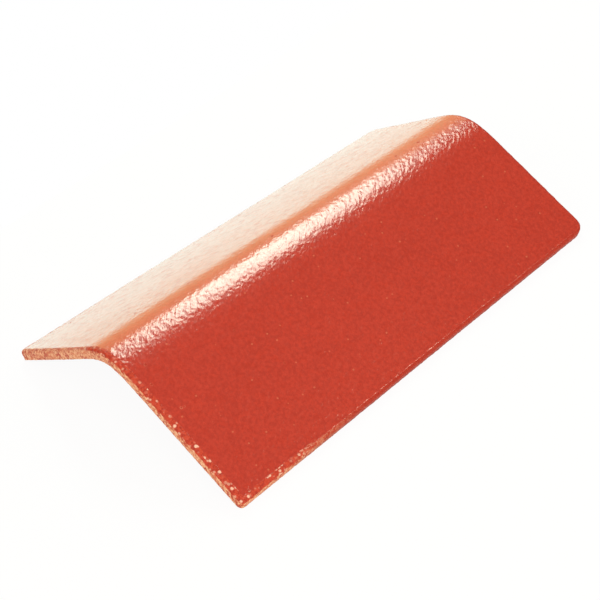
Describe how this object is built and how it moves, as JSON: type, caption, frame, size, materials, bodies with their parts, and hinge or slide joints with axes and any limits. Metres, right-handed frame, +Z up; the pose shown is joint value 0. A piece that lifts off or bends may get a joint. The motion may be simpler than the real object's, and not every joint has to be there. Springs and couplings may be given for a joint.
{
  "type": "ridge tile",
  "caption": "Tapered ridge tile whose flat sloping wings meet in a rounded crest, laid along the top of a pitched roof to cover the joint between its slopes.",
  "frame": {"origin": "middle of the tile's footprint, on the level that the heels of its wings stand on", "axes": "+Z up through the crest, +Y along the ridge towards the narrower end with the rounder corners, +X across the ridge"},
  "size_m": [0.2836, 0.4014, 0.0765],
  "materials": {
    "tile_body": "satin"
  },
  "bodies": {
    "root": {"ridge_tile": "tile_body"}
  },
  "joints": []
}
